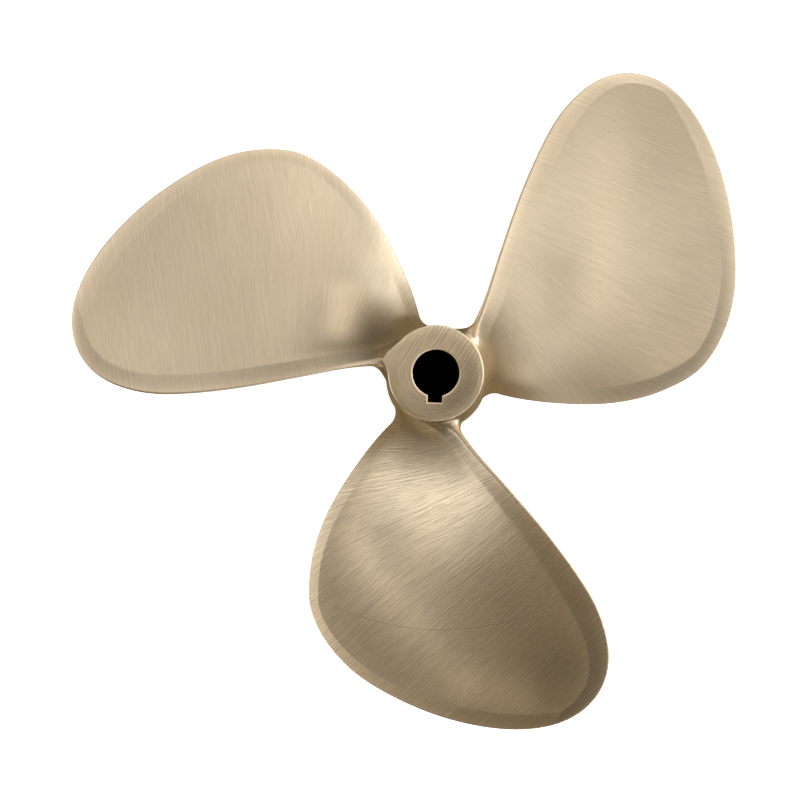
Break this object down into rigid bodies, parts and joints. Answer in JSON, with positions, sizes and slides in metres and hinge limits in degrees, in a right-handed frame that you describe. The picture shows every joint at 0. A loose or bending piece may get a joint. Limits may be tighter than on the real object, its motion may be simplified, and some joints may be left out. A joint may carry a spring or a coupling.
{
  "type": "boat propeller",
  "caption": "Bronze screw propeller for an inboard motor boat: right-hand blades on a hub with a keyed, tapered shaft bore.",
  "frame": {"origin": "on the shaft axis, at the centre of the hub's forward face, which is the large end of the tapered bore", "axes": "+Z along the shaft axis towards the aft end, where the shaft nut bears; -Y from the axis over the keyway and along the centre line of blade_1; blade_2 and blade_3 follow at 120 degree steps counter-clockwise seen from +Z"},
  "size_m": [0.3671, 0.3626, 0.1091],
  "materials": {
    "hub_bronze": "faced on a lathe and hand ground, satin, with fine diagonal marks on the end face",
    "blade_bronze": "ground and brushed, satin, with fine curved marks and a ground band inside each edge"
  },
  "bodies": {
    "root": {"hub": "hub_bronze", "blade_1": "blade_bronze", "blade_2": "blade_bronze", "blade_3": "blade_bronze"}
  },
  "joints": []
}
